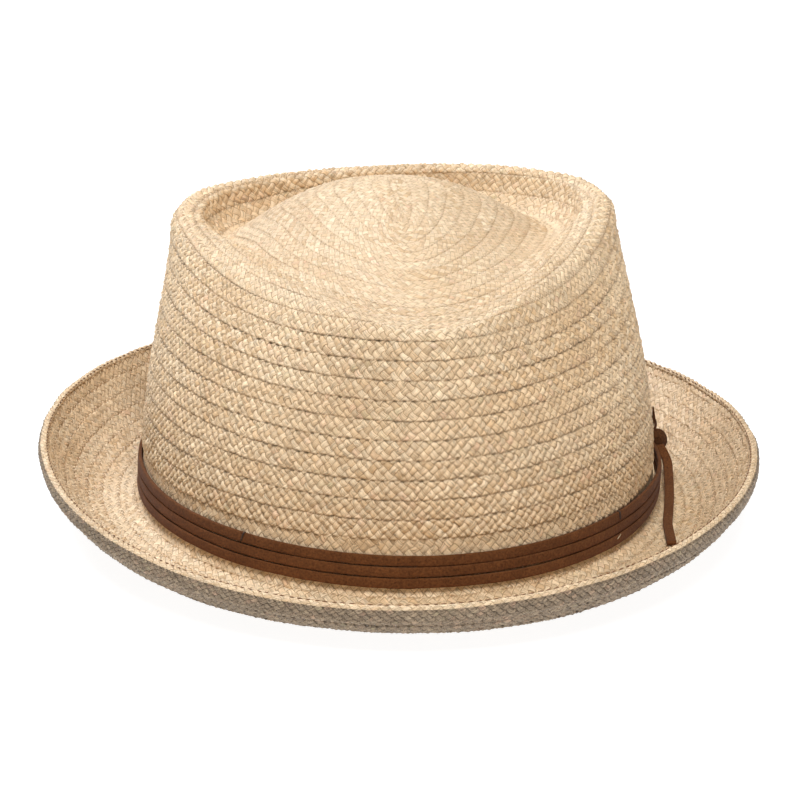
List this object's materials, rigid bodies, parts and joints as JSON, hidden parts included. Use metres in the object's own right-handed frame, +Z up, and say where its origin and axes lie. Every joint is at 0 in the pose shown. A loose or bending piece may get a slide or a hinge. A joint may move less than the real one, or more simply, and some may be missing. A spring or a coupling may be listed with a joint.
{
  "type": "porkpie hat",
  "caption": "Straw porkpie hat with a pinched, ridged crown top, a turned-up oval brim and flat laces knotted round the foot of the crown.",
  "frame": {"origin": "middle of the hat's plan, on the surface that its brim rests on", "axes": "+Z up, -Y towards the front of the hat, +X towards the wearer's left"},
  "size_m": [0.2376, 0.2946, 0.102],
  "materials": {
    "straw": "matte plaited natural straw, sewn in rows",
    "suede": "brown suede lace, matte with a soft nap"
  },
  "bodies": {
    "root": {"crown": "straw", "brim": "straw", "lace_bottom": "suede", "lace_middle": "suede", "lace_top": "suede", "knot": "suede", "knot_turn": "suede", "lace_end": "suede"}
  },
  "joints": []
}
